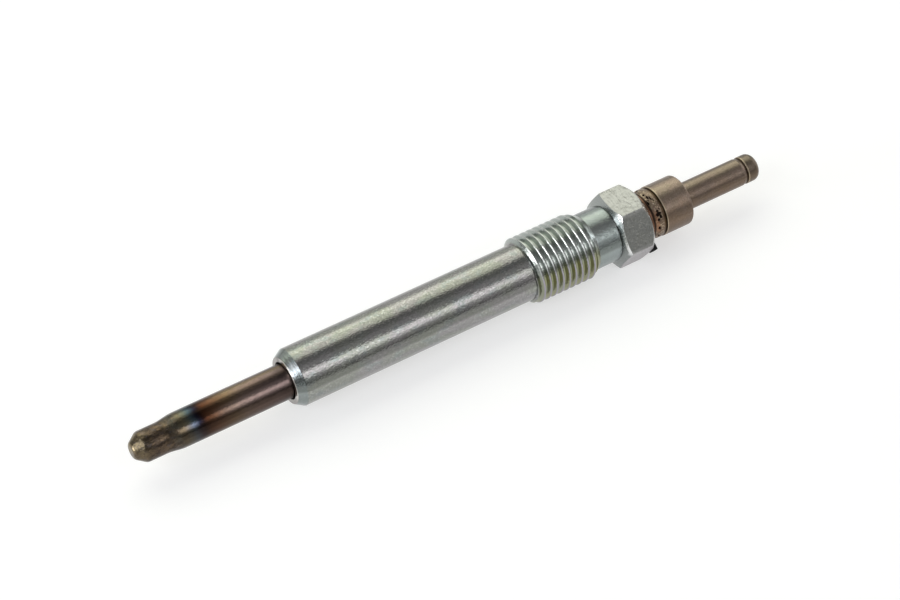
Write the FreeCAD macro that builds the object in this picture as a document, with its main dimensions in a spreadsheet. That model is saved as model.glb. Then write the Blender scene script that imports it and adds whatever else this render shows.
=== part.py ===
import FreeCAD, Part
import Sketcher
import math
import os
import re

# Diesel glow plug: a turned steel shell with a cone seat, a thread and a hexagon, a pencil
# heater pressed into its nose, and a push-on terminal insulated from it at the back.
# The plug lies along X on one flat of its hexagon, tip towards -X and terminal towards +X.
# Stations run along the axis from the front face of the shell. Lengths are in millimetres.

doc = FreeCAD.newDocument("GlowPlug")

# Driving dimensions: alias and value. Angles are in degrees.
DIMENSIONS = [
    # clearances between pieces, and how far a cut runs past the surface that it opens
    ("FitClearance", 0.03),
    ("PressClearance", 0.02),
    ("CutMargin", 1.0),
    # heater sheath
    ("ProbeDiameter", 6.0),
    ("ProbeReach", 27.65),
    ("SheathInsertion", 35.0),
    ("TipDiameter", 5.27),
    ("TipLength", 5.7),
    ("TipTaperLength", 2.3),
    ("TaperRound", 8.0),
    ("NoseLength", 1.85),
    ("NoseFaceDiameter", 2.6),
    ("NoseRound", 1.2),
    ("ShoulderRound", 2.0),
    ("SheathWall", 0.65),
    ("TipWall", 1.0),
    # shell
    ("BodyDiameter", 10.0),
    ("BodyLength", 45.05),
    ("SeatFaceDiameter", 8.16),
    ("SeatAngle", 63.0),
    ("ThreadDiameter", 11.87),
    ("ThreadLength", 12.75),
    ("ThreadChamferAngle", 30.0),
    ("NeckDiameter", 10.0),
    ("NeckLength", 4.6),
    ("HexAcross", 12.0),
    ("HexLength", 5.15),
    ("HexConeLength", 0.7),
    ("HexRearChamfer", 1.1),
    ("FrontBoreDiameter", 6.54),
    ("FrontBoreDepth", 9.0),
    ("BoreMouthChamfer", 0.1),
    ("RodBoreDiameter", 4.8),
    ("SealBoreDiameter", 7.6),
    ("SealBoreDepth", 5.2),
    # coils and filling
    ("CoilWireDiameter", 0.46),
    ("CoilMeanDiameter", 2.4),
    ("HeatingCoilPitch", 1.0),
    ("HeatingCoilTurns", 6),
    ("RegulatingCoilPitch", 1.9),
    ("RegulatingCoilTurns", 7),
    ("WebThickness", 0.4),
    # connecting rod and seals
    ("RodDiameter", 3.6),
    ("SpigotDiameter", 1.84),
    ("SpigotLength", 3.2),
    ("RodChamfer", 0.3),
    ("SheathSealLength", 3.0),
    ("SheathSealChamfer", 0.2),
    ("ORingChamfer", 0.5),
    ("BushFlangeDiameter", 8.3),
    ("BushFlangeThickness", 0.6),
    ("NibReach", 6.1),
    ("NibWidth", 1.5),
    ("NibAngle", 36.0),
    ("ClampRingDiameter", 8.6),
    ("ClampRingThickness", 0.85),
    ("ClampRingChamfer", 0.12),
    # terminal
    ("StakedFaceDiameter", 7.9),
    ("StakedFaceLength", 0.9),
    ("LipDiameter", 8.8),
    ("LipLength", 0.85),
    ("CollarDiameter", 9.0),
    ("CollarLength", 6.75),
    ("CollarChamfer", 0.3),
    ("CollarGrooveDiameter", 8.56),
    ("CollarGrooveWidth", 0.45),
    ("StakeMarkCount", 14),
    ("StakeMarkWidth", 0.5),
    ("StakeMarkInnerDiameter", 7.3),
    ("StakeMarkDepth", 0.6),
    ("PinDiameter", 4.9),
    ("PinLength", 12.3),
    ("NotchDiameter", 4.54),
    ("NotchLength", 0.9),
    ("NotchWallLength", 0.1),
    ("KnobLength", 2.62),
    ("KnobRound", 1.25),
    ("SocketDepth", 6.0),
]

# Radii and stations that several pieces share, each worked out from the driving dimensions and
# the values above it.
DERIVED = [
    ("ProbeRadius", "ProbeDiameter / 2"),
    ("TipRadius", "TipDiameter / 2"),
    ("TipEnd", "-ProbeReach"),
    ("CavityRadius", "ProbeRadius - SheathWall"),
    ("TipCavityRadius", "TipRadius - SheathWall"),
    ("CavityFront", "TipEnd + TipWall"),
    ("BodyRadius", "BodyDiameter / 2"),
    ("SeatFaceRadius", "SeatFaceDiameter / 2"),
    ("SeatLength", "(BodyRadius - SeatFaceRadius) / tan(SeatAngle * 1deg / 2)"),
    ("ThreadRadius", "ThreadDiameter / 2"),
    ("NeckRadius", "NeckDiameter / 2"),
    ("ThreadRise", "(ThreadRadius - BodyRadius) / tan(ThreadChamferAngle * 1deg)"),
    ("ThreadFall", "(ThreadRadius - NeckRadius) / tan(ThreadChamferAngle * 1deg)"),
    ("ThreadEnd", "BodyLength + ThreadLength"),
    ("NeckEnd", "ThreadEnd + NeckLength"),
    ("HexFront", "NeckEnd + HexConeLength"),
    ("HexRear", "HexFront + HexLength"),
    ("HexFlatRadius", "HexAcross / 2"),
    ("HexCornerRadius", "HexAcross / sqrt(3)"),
    ("PressBoreRadius", "ProbeRadius + PressClearance"),
    ("SealBoreFloor", "HexRear - SealBoreDepth"),
    ("SealBoreRadius", "SealBoreDiameter / 2"),
    ("WireRadius", "CoilWireDiameter / 2"),
    ("CoilRadius", "CoilMeanDiameter / 2"),
    ("HeatingStart", "CavityFront + FitClearance + WireRadius"),
    ("HeatingEnd", "HeatingStart + HeatingCoilPitch * HeatingCoilTurns"),
    ("WebFront", "HeatingEnd + WireRadius + FitClearance"),
    ("WebRear", "WebFront + WebThickness"),
    ("RegulatingStart", "WebRear + FitClearance + WireRadius"),
    ("RegulatingEnd", "RegulatingStart + RegulatingCoilPitch * RegulatingCoilTurns"),
    ("RodShoulder", "RegulatingEnd + WireRadius + FitClearance"),
    ("RodRadius", "RodDiameter / 2"),
    ("SpigotRadius", "SpigotDiameter / 2"),
    ("SheathSealFront", "SheathInsertion - SheathSealLength"),
    ("ORingSection", "SealBoreRadius - RodRadius - 2 * FitClearance"),
    ("BushFront", "SealBoreFloor + ORingSection + 2 * FitClearance"),
    ("FlangeFront", "HexRear + PressClearance"),
    ("FlangeRear", "FlangeFront + BushFlangeThickness"),
    ("ClampFront", "FlangeRear + FitClearance"),
    ("ClampRear", "ClampFront + ClampRingThickness"),
    ("TerminalFront", "ClampRear + FitClearance"),
    ("LipFront", "TerminalFront + StakedFaceLength"),
    ("CollarRear", "LipFront + CollarLength"),
    ("NotchFront", "CollarRear + PinLength"),
    ("KnobFront", "NotchFront + NotchLength"),
    ("TerminalEnd", "KnobFront + KnobLength"),
    ("SocketRadius", "RodRadius + FitClearance"),
    ("AxisHeight", "HexAcross / 2"),
    ("MidStation", "(TipEnd + TerminalEnd) / 2"),
]


def add_sheet(name, rows):
    """A spreadsheet with a named cell for each row."""
    sheet = doc.addObject("Spreadsheet::Sheet", name)
    sheet.Label = name
    for row, (alias, content) in enumerate(rows, start=1):
        sheet.set(f"A{row}", alias)
        sheet.set(f"B{row}", content)
        sheet.setAlias(f"B{row}", alias)
    doc.recompute()
    return sheet


def linked(formula):
    """A formula with each name written as the cell that holds it, in one of the two sheets."""
    driving = dict(DIMENSIONS)

    def cell(name):
        return f"dims.{name[0]}" if name[0] in driving else f"places.{name[0]}"

    return re.sub(r"[A-Z]\w+", cell, formula)


dims = add_sheet("dims", [(alias, str(value)) for alias, value in DIMENSIONS])
places = add_sheet("places", [(alias, "=" + linked(formula)) for alias, formula in DERIVED])


def size(alias):
    """The number that a sheet holds for an alias."""
    sheet = dims if alias in dict(DIMENSIONS) else places
    value = sheet.get(alias)
    return float(getattr(value, "Value", value))


def new_body(name):
    """A body on the plug's axis, which lies along X above the ground plane."""
    body = doc.addObject("PartDesign::Body", name)
    body.Label = name
    body.setExpression("Placement.Base.x", "-places.MidStation * 1mm")
    body.setExpression("Placement.Base.z", "places.AxisHeight * 1mm")
    return body


def new_sketch(body, name, role, station=None, turn=None):
    """A sketch on one of the body's own origin planes, moved along the plane's normal."""
    plane = [item for item in body.Origin.OriginFeatures if item.Role == role][0]
    sketch = body.newObject("Sketcher::SketchObject", name)
    sketch.AttachmentSupport = [(plane, "")]
    sketch.MapMode = "FlatFace"
    if station:
        sketch.setExpression("AttachmentOffset.Base.z", f"({linked(station)}) * 1mm")
    if turn:
        sketch.setExpression("AttachmentOffset.Rotation.Angle", f"({linked(turn)}) * 1deg")
    return sketch


def add_outline(sketch, corners):
    """A closed outline of straight lines. Each corner is a pair of formulas, and is held by
    its two distances from the origin."""
    count = len(corners)
    first = sketch.GeometryCount
    starts = [FreeCAD.Vector(math.cos(i * math.tau / count), math.sin(i * math.tau / count), 0)
              for i in range(count)]
    for i in range(count):
        sketch.addGeometry(Part.LineSegment(starts[i], starts[(i + 1) % count]), False)
    for i in range(count):
        here, after = first + i, first + (i + 1) % count
        sketch.addConstraint(Sketcher.Constraint("Coincident", here, 2, after, 1))
    for i, (along, across) in enumerate(corners):
        for kind, formula, start in (("DistanceX", along, starts[i].x), ("DistanceY", across, starts[i].y)):
            index = sketch.addConstraint(Sketcher.Constraint(kind, -1, 1, first + i, 1, start))
            sketch.setExpression(f"Constraints[{index}]", f"({linked(formula)}) * 1mm")


def add_circle(sketch, along, across, radius):
    """A circle held by its centre's two distances and its radius."""
    index = sketch.addGeometry(Part.Circle(FreeCAD.Vector(1, 1, 0), FreeCAD.Vector(0, 0, 1), 1), False)
    for kind, formula in (("DistanceX", along), ("DistanceY", across)):
        held = sketch.addConstraint(Sketcher.Constraint(kind, -1, 1, index, 3, 1.0))
        sketch.setExpression(f"Constraints[{held}]", f"({linked(formula)}) * 1mm")
    held = sketch.addConstraint(Sketcher.Constraint("Radius", index, 1.0))
    sketch.setExpression(f"Constraints[{held}]", f"({linked(radius)}) * 1mm")


def add_hexagon(sketch, along, across, radius):
    """A regular hexagon about a point, with two corners level with it, held by its corner radius."""
    flat = f"({radius}) * sqrt(3) / 2"
    add_outline(sketch, [
        (f"{along} + {radius}", across),
        (f"{along} + ({radius}) / 2", f"{across} + {flat}"),
        (f"{along} - ({radius}) / 2", f"{across} + {flat}"),
        (f"{along} - {radius}", across),
        (f"{along} - ({radius}) / 2", f"{across} - {flat}"),
        (f"{along} + ({radius}) / 2", f"{across} - {flat}"),
    ])


def turn(body, name, corners, cut=False):
    """A turned form or, with cut, a turned groove: a half section carried round the X axis."""
    sketch = new_sketch(body, name + "Section", "XZ_Plane")
    add_outline(sketch, corners)
    before = body.Shape.Volume if cut else 0
    feature = body.newObject("PartDesign::Groove" if cut else "PartDesign::Revolution", name)
    feature.Profile = sketch
    feature.ReferenceAxis = (sketch, ["H_Axis"])
    feature.Angle = 360
    doc.recompute()
    if cut and body.Shape.Volume >= before:
        raise ValueError(name + " cuts nothing")


def pocket(body, name, sketch, length):
    """A pocket that runs from its sketch towards the terminal, checked to take material away."""
    before = body.Shape.Volume
    feature = body.newObject("PartDesign::Pocket", name)
    feature.Profile = sketch
    feature.setExpression("Length", f"({linked(length)}) * 1mm")
    feature.Reversed = True
    doc.recompute()
    if body.Shape.Volume >= before:
        raise ValueError(name + " cuts nothing")
    return feature


def circle_edges(body, station, radius):
    """Names of the body's full round edges at a station and radius, to within a tolerance."""
    tolerance = 1e-4
    found = []
    for number, edge in enumerate(body.Tip.Shape.Edges, start=1):
        curve = edge.Curve
        if isinstance(curve, Part.Circle) and abs(curve.Radius - radius) < tolerance:
            if abs(curve.Center.x - station) < tolerance:
                found.append(f"Edge{number}")
    if not found:
        raise ValueError(f"no round edge at {station}, {radius}")
    return found


def fillet(body, name, edges, radius):
    """A fillet on edges of the body's last feature."""
    base = body.Tip
    feature = body.newObject("PartDesign::Fillet", name)
    feature.Base = (base, edges)
    feature.setExpression("Radius", f"({linked(radius)}) * 1mm")
    doc.recompute()


def make_shell():
    """Shell: one turned and milled steel piece with cone seat, body, thread blank, neck, hexagon
    and stepped bore. The thread's blank has its crest diameter."""
    body = new_body("shell")
    turn(body, "ShellForm", [
        ("0", "FrontBoreDiameter / 2 + BoreMouthChamfer"),
        ("0", "SeatFaceRadius"),
        ("SeatLength", "BodyRadius"),
        ("BodyLength", "BodyRadius"),
        ("BodyLength + ThreadRise", "ThreadRadius"),
        ("ThreadEnd - ThreadFall", "ThreadRadius"),
        ("ThreadEnd", "NeckRadius"),
        ("NeckEnd", "NeckRadius"),
        ("HexFront", "HexCornerRadius"),
        ("HexRear - HexRearChamfer", "HexCornerRadius"),
        ("HexRear", "HexCornerRadius - HexRearChamfer"),
        ("HexRear", "SealBoreRadius"),
        ("SealBoreFloor", "SealBoreRadius"),
        ("SealBoreFloor", "RodBoreDiameter / 2"),
        ("SheathInsertion + PressClearance", "RodBoreDiameter / 2"),
        ("SheathInsertion + PressClearance", "PressBoreRadius"),
        ("FrontBoreDepth", "PressBoreRadius"),
        ("FrontBoreDepth", "FrontBoreDiameter / 2"),
        ("BoreMouthChamfer", "FrontBoreDiameter / 2"),
    ])
    flats = new_sketch(body, "HexFlats", "YZ_Plane", "NeckEnd")
    add_circle(flats, "0", "0", "HexCornerRadius + CutMargin")
    add_hexagon(flats, "0", "0", "HexCornerRadius")
    pocket(body, "HexMilling", flats, "HexConeLength + HexLength + CutMargin")
    return body


def make_heater_sheath():
    """Sheath: one swaged tube with a closed, reduced tip, open at the back."""
    body = new_body("heater_sheath")
    taper_end = "TipEnd + TipLength + TipTaperLength"
    turn(body, "SheathForm", [
        ("TipEnd", "0"),
        ("TipEnd", "NoseFaceDiameter / 2"),
        ("TipEnd + NoseLength", "TipRadius"),
        ("TipEnd + TipLength", "TipRadius"),
        (taper_end, "ProbeRadius"),
        ("SheathInsertion", "ProbeRadius"),
        ("SheathInsertion", "CavityRadius"),
        (taper_end, "CavityRadius"),
        ("TipEnd + TipLength", "TipCavityRadius"),
        ("CavityFront", "TipCavityRadius"),
        ("CavityFront", "0"),
    ])
    tip_end = size("TipEnd")
    taper_front = tip_end + size("TipLength")
    taper_rear = taper_front + size("TipTaperLength")
    nose_edge = circle_edges(body, tip_end, size("NoseFaceDiameter") / 2)
    fillet(body, "NoseEdge", nose_edge, "NoseRound")
    nose_shoulder = circle_edges(body, tip_end + size("NoseLength"), size("TipRadius"))
    fillet(body, "NoseShoulder", nose_shoulder, "ShoulderRound")
    taper_edges = circle_edges(body, taper_front, size("TipRadius"))
    taper_edges += circle_edges(body, taper_rear, size("ProbeRadius"))
    fillet(body, "TaperBlend", taper_edges, "TaperRound")
    return body


def add_coil(body, start, pitch, turns):
    """A helical winding of wire about the axis. The fine wire has six flats in place of its
    round. Its volume is held against the wire's length times its section, to within a tolerance."""
    tolerance = 0.05
    wire = new_sketch(body, "Wire", "XZ_Plane")
    add_hexagon(wire, start, "CoilRadius", "WireRadius")
    helix = body.newObject("PartDesign::AdditiveHelix", "Winding")
    helix.Profile = wire
    helix.ReferenceAxis = (wire, ["H_Axis"])
    helix.Mode = "pitch-turns-angle"
    helix.setExpression("Pitch", f"dims.{pitch} * 1mm")
    helix.setExpression("Turns", f"dims.{turns}")
    helix.Angle = 0
    doc.recompute()
    run = math.hypot(math.tau * size("CoilRadius"), size(pitch)) * size(turns)
    expected = run * math.sqrt(6.75) * size("WireRadius") ** 2
    if abs(body.Shape.Volume / expected - 1) > tolerance:
        raise ValueError(f"{body.Label} has volume {body.Shape.Volume}, not {expected}")


def make_heating_coil():
    """Heating coil: the fine winding in the tip, its first turn against the tip's floor."""
    body = new_body("heating_coil")
    add_coil(body, "HeatingStart", "HeatingCoilPitch", "HeatingCoilTurns")
    return body


def make_regulating_coil():
    """Regulating coil: the open winding behind it, with a lead through the filling's web."""
    body = new_body("regulating_coil")
    add_coil(body, "RegulatingStart", "RegulatingCoilPitch", "RegulatingCoilTurns")
    lead = new_sketch(body, "Lead", "YZ_Plane", "RegulatingStart")
    add_hexagon(lead, "0", "CoilRadius", "WireRadius")
    pad = body.newObject("PartDesign::Pad", "LeadPad")
    pad.Profile = lead
    pad.Reversed = True
    pad.setExpression("Length", "(places.RegulatingStart - places.WebFront) * 1mm")
    doc.recompute()
    return body


def make_insulating_powder():
    """Packed insulating powder: fills the sheath round the coils and the front of the rod. The
    coils lie in two ring channels, parted by a web with a hole for the lead."""
    body = new_body("insulating_powder")
    taper_end = "TipEnd + TipLength + TipTaperLength"
    turn(body, "Filling", [
        ("CavityFront + FitClearance", "0"),
        ("CavityFront + FitClearance", "TipCavityRadius - FitClearance"),
        ("TipEnd + TipLength", "TipCavityRadius - FitClearance"),
        (taper_end, "CavityRadius - FitClearance"),
        ("SheathSealFront - FitClearance", "CavityRadius - FitClearance"),
        ("SheathSealFront - FitClearance", "RodRadius + FitClearance"),
        ("RodShoulder - FitClearance", "RodRadius + FitClearance"),
        ("RodShoulder - FitClearance", "0"),
    ])
    inner = "CoilRadius - WireRadius - FitClearance"
    outer = "CoilRadius + WireRadius + FitClearance"
    for name, start, end in (("HeatingChannel", "CavityFront", "WebFront"),
                             ("RegulatingChannel", "WebRear", "RodShoulder")):
        turn(body, name, [(start, inner), (start, outer), (end, outer), (end, inner)], cut=True)
    turn(body, "SpigotBore", [
        ("RodShoulder - SpigotLength - FitClearance", "0"),
        ("RodShoulder - SpigotLength - FitClearance", "SpigotRadius + FitClearance"),
        ("RodShoulder", "SpigotRadius + FitClearance"),
        ("RodShoulder", "0"),
    ], cut=True)
    lead = new_sketch(body, "LeadHole", "YZ_Plane", "WebFront")
    add_circle(lead, "0", "CoilRadius", "WireRadius + FitClearance / 2")
    pocket(body, "LeadPocket", lead, "WebThickness")
    return body


def make_connecting_rod():
    """Connecting rod: a turned rod from the coil, which grips its spigot, to the terminal."""
    body = new_body("connecting_rod")
    rear = "TerminalFront + SocketDepth - FitClearance"
    turn(body, "RodForm", [
        ("RodShoulder - SpigotLength", "0"),
        ("RodShoulder - SpigotLength", "SpigotRadius"),
        ("RodShoulder", "SpigotRadius"),
        ("RodShoulder", "RodRadius"),
        (rear + " - RodChamfer", "RodRadius"),
        (rear, "RodRadius - RodChamfer"),
        (rear, "0"),
    ])
    return body


def make_ring(name, front, rear, inner, outer, chamfer):
    """A ring about the axis, rectangular in section with its four corners cut off."""
    body = new_body(name)
    turn(body, "RingForm", [
        (f"{front} + {chamfer}", inner),
        (front, f"{inner} + {chamfer}"),
        (front, f"{outer} - {chamfer}"),
        (f"{front} + {chamfer}", outer),
        (f"{rear} - {chamfer}", outer),
        (rear, f"{outer} - {chamfer}"),
        (rear, f"{inner} + {chamfer}"),
        (f"{rear} - {chamfer}", inner),
    ])
    return body


def make_sheath_seal():
    """Sheath seal: closes the back of the sheath round the rod."""
    return make_ring("sheath_seal", "SheathSealFront", "SheathInsertion",
                     "RodRadius + FitClearance", "CavityRadius - FitClearance", "SheathSealChamfer")


def make_o_ring():
    """O-ring: squeezed between the rod and the floor and wall of the rear bore, which leave flats
    on its round section."""
    return make_ring("o_ring", "SealBoreFloor + FitClearance", "BushFront - FitClearance",
                     "RodRadius + FitClearance", "SealBoreRadius - FitClearance", "ORingChamfer")


def make_clamp_ring():
    """Clamp ring: a thin metal washer between the bush and the terminal."""
    return make_ring("clamp_ring", "ClampFront", "ClampRear",
                     "RodRadius + FitClearance", "ClampRingDiameter / 2", "ClampRingChamfer")


def make_insulating_bush():
    """Insulating bush: a spigot in the shell's rear bore, a flange behind the hexagon and the
    small moulding nib that stands out of the flange on one side."""
    body = new_body("insulating_bush")
    turn(body, "BushForm", [
        ("BushFront", "RodRadius + FitClearance"),
        ("BushFront", "SealBoreRadius - FitClearance"),
        ("FlangeFront", "SealBoreRadius - FitClearance"),
        ("FlangeFront", "BushFlangeDiameter / 2"),
        ("FlangeRear", "BushFlangeDiameter / 2"),
        ("FlangeRear", "RodRadius + FitClearance"),
    ])
    nib = new_sketch(body, "Nib", "YZ_Plane", "FlangeFront", "180 + NibAngle")
    add_outline(nib, [
        ("BushFlangeDiameter / 2 - NibWidth / 2", "-NibWidth / 2"),
        ("NibReach", "-NibWidth / 2"),
        ("NibReach", "NibWidth / 2"),
        ("BushFlangeDiameter / 2 - NibWidth / 2", "NibWidth / 2"),
    ])
    pad = body.newObject("PartDesign::Pad", "NibPad")
    pad.Profile = nib
    pad.setExpression("Length", "dims.BushFlangeThickness * 1mm")
    doc.recompute()
    return body


def make_terminal():
    """Terminal: one turned cap with a staked front face, a lip, a collar and a push-on pin that
    ends in a notch and a domed knob. Its socket takes the connecting rod."""
    body = new_body("terminal")
    groove_front = "LipFront + LipLength"
    groove_rear = "LipFront + LipLength + CollarGrooveWidth"
    step = "(CollarDiameter - CollarGrooveDiameter) / 2"
    turn(body, "TerminalForm", [
        ("TerminalFront", "SocketRadius"),
        ("TerminalFront", "StakedFaceDiameter / 2"),
        ("LipFront", "LipDiameter / 2"),
        (groove_front, "LipDiameter / 2"),
        (groove_front, "CollarGrooveDiameter / 2"),
        (groove_rear + " - " + step, "CollarGrooveDiameter / 2"),
        (groove_rear, "CollarDiameter / 2"),
        ("CollarRear - CollarChamfer", "CollarDiameter / 2"),
        ("CollarRear", "CollarDiameter / 2 - CollarChamfer"),
        ("CollarRear", "PinDiameter / 2"),
        ("NotchFront", "PinDiameter / 2"),
        ("KnobFront - NotchWallLength", "NotchDiameter / 2"),
        ("KnobFront", "PinDiameter / 2"),
        ("TerminalEnd", "PinDiameter / 2"),
        ("TerminalEnd", "0"),
        ("TerminalFront + SocketDepth", "0"),
        ("TerminalFront + SocketDepth", "SocketRadius"),
    ])
    knob_edge = circle_edges(body, size("TerminalEnd"), size("PinDiameter") / 2)
    fillet(body, "KnobDome", knob_edge, "KnobRound")
    mark = new_sketch(body, "StakeMark", "YZ_Plane", "TerminalFront")
    add_outline(mark, [
        ("StakeMarkInnerDiameter / 2", "-StakeMarkWidth / 2"),
        ("LipDiameter / 2 + CutMargin", "-StakeMarkWidth / 2"),
        ("LipDiameter / 2 + CutMargin", "StakeMarkWidth / 2"),
        ("StakeMarkInnerDiameter / 2", "StakeMarkWidth / 2"),
    ])
    dent = pocket(body, "StakeDent", mark, "StakeMarkDepth")
    marks = body.newObject("PartDesign::PolarPattern", "StakeMarks")
    marks.Originals = [dent]
    marks.Axis = (mark, ["N_Axis"])
    marks.Angle = 360
    marks.setExpression("Occurrences", "dims.StakeMarkCount")
    body.Tip = marks
    doc.recompute()
    return body


bodies = [
    make_shell(),
    make_heater_sheath(),
    make_heating_coil(),
    make_regulating_coil(),
    make_insulating_powder(),
    make_connecting_rod(),
    make_sheath_seal(),
    make_o_ring(),
    make_insulating_bush(),
    make_clamp_ring(),
    make_terminal(),
]

doc.recompute()
for item in doc.Objects:
    if "Invalid" in item.State or "Error" in item.State:
        raise ValueError(f"{item.Label} failed: {item.State}")

os.makedirs("parts", exist_ok=True)
for body in bodies:
    shape = body.Shape
    if shape.isNull() or not shape.isValid() or len(shape.Solids) != 1:
        raise ValueError(f"{body.Label} is not one valid solid")
    shape.exportStep(f"parts/{body.Label}.step")
    box = shape.BoundBox
    print(f"{body.Label}: volume {shape.Volume:.3f}, x {box.XMin:.3f} to {box.XMax:.3f}, "
          f"z {box.ZMin:.3f} to {box.ZMax:.3f}")
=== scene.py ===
import math

import bpy
import numpy as np
from mathutils import Matrix


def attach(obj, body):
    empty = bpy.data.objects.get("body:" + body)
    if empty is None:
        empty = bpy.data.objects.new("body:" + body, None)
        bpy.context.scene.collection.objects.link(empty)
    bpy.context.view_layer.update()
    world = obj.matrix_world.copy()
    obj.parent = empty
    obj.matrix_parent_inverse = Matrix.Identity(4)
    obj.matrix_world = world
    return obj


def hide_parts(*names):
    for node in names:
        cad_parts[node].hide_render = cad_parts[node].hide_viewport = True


# Diesel glow plug, dressed over its CAD frame. Stations run along the axis from the front face
# of the shell. Stations and radii are in millimetres and angles round the axis in radians, until
# place() turns them into points of the row frame. An angle of 0 points to +Y, a quarter turn to
# +Z.

MM = 0.001
TURN = 2 * math.pi
SAME_POINT = 2e-8  # metres within which two points are one

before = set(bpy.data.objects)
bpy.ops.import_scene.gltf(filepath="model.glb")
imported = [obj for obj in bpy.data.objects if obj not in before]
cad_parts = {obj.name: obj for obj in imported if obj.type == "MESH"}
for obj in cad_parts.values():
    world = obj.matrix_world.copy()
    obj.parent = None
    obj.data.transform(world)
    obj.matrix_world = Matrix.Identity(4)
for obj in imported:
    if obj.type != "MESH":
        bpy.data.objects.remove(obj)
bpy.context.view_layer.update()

MID_STATION = 32.8
AXIS_HEIGHT = 6.0

# The near side is the one that the photograph shows. Marks, tints and wear are placed by their
# degrees past it, which grow towards the underside.
# Painted highlights and painted shade on the finishes are placed by these degrees too.
NEAR_SIDE = math.radians(130.8)

# Heater sheath
TIP_END = -27.65
NOSE_REAR = -25.8
NOSE_FACE_RADIUS = 1.3
TIP_RADIUS = 2.635
TAPER_FRONT = -21.95
TAPER_REAR = -19.65
PROBE_RADIUS = 3.0
CAVITY_RADIUS = 2.35
TIP_CAVITY_RADIUS = 1.985
CAVITY_FRONT = -26.65
SHEATH_REAR = 35.0

# Shell
SEAT_FACE_RADIUS = 4.08
SEAT_REAR = 1.501
BODY_RADIUS = 5.0
THREAD_FRONT = 45.05
THREAD_REAR = 57.8
UNDERCUT = 0.20
HEX_FOOT = 62.34
HEX_FRONT = 63.1
HEX_REAR = 68.25
HEX_FLAT_RADIUS = 6.0
HEX_CORNER_RADIUS = 12.0 / math.sqrt(3)
HEX_REAR_CHAMFER = 1.1
HEX_ROUNDING = 0.22
HEX_BEVEL = 0.05
FRONT_BORE_RADIUS = 3.27
FRONT_BORE_DEPTH = 9.0
PRESS_BORE_RADIUS = 3.02
PRESS_BORE_REAR = 35.02
ROD_BORE_RADIUS = 2.4
SEAL_BORE_RADIUS = 3.8
SEAL_BORE_FLOOR = 63.05

# Thread, M12 x 1.25, right-hand. The first groove is deeper, down to the shank, over RUN_IN.
PITCH = 1.25
CREST_FLAT = PITCH / 8
CREST_RADIUS = 5.935
CREST_STATION = 47.197
CREST_SOFTNESS = 0.018
ROOT_RADIUS = 5.26
ROOT_SOFTNESS = 0.02
ROOT_DROP = 0.26
RUN_IN = 1.8
FRONT_STEP = 0.20
FRONT_CHAMFER = math.radians(55)
REAR_CHAMFER = math.radians(30)
CHAMFER_SOFTNESS = 0.01

# Insulating bush and clamp ring
BUSH_FRONT = 65.05
BUSH_RADIUS = 3.77
BUSH_EDGE = 0.04
FLANGE_FRONT = 68.27
FLANGE_REAR = 68.87
FLANGE_RADIUS = 4.15
NIB_REACH = 6.2
NIB_WIDTH = 1.6
NIB_OVERHANG = 0.38
NIB_SIDE = math.radians(216.0)
CLAMP_FRONT = 68.9
CLAMP_REAR = 69.75
CLAMP_RADIUS = 4.3
ROD_CLEARANCE_RADIUS = 1.83

# Terminal
TERMINAL_FRONT = 69.78
LIP_FRONT = 70.68
GROOVE_FRONT = 71.53
GROOVE_REAR = 71.98
COLLAR_REAR = 77.43
NOTCH_FRONT = 89.73
KNOB_FRONT = 90.63
TERMINAL_END = 93.25
STAKED_RADIUS = 3.95
LIP_RADIUS = 4.4
GROOVE_RADIUS = 4.16
COLLAR_RADIUS = 4.5
PIN_RADIUS = 2.45
NOTCH_RADIUS = 2.22
SOCKET_DEPTH = 6.0
DEEPEST_STAKE = 0.34
UPSET_RIPPLE = 0.025


# Forms

def place(station, radius, angle):
    """Points of the row frame in metres: station along +X, radius times the angle's cosine
    along +Y and its sine along +Z, about the axis."""
    station, radius, angle = np.broadcast_arrays(station, radius, angle)
    x = station - MID_STATION
    y = radius * np.cos(angle)
    z = AXIS_HEIGHT + radius * np.sin(angle)
    return np.stack([x, y, z], axis=-1) * MM


def place_rows(rows, angles):
    """Points of a grid from its rows, each a station and a radius for every angle."""
    station = np.array([row[0] for row in rows])
    radius = np.array([row[1] for row in rows])
    return place(station, radius, angles[None, :])


def even_angles(count):
    """Angles once round the axis, evenly spread."""
    return np.arange(count) * TURN / count


def hexagon_angles(count=48, pull=0.42):
    """Angles once round the axis, closer together at the corners of the hexagon: across each
    flat they follow 30 degrees times ((1 + pull) u - pull u cubed), with u from -1 to 1."""
    u = -1 + 2 * np.arange(count) / count
    across = math.pi / 6 * ((1 + pull) * u - pull * u ** 3)
    flats = math.pi / 2 + np.arange(6) * math.pi / 3
    return (flats[:, None] + across[None, :]).ravel()


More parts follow.
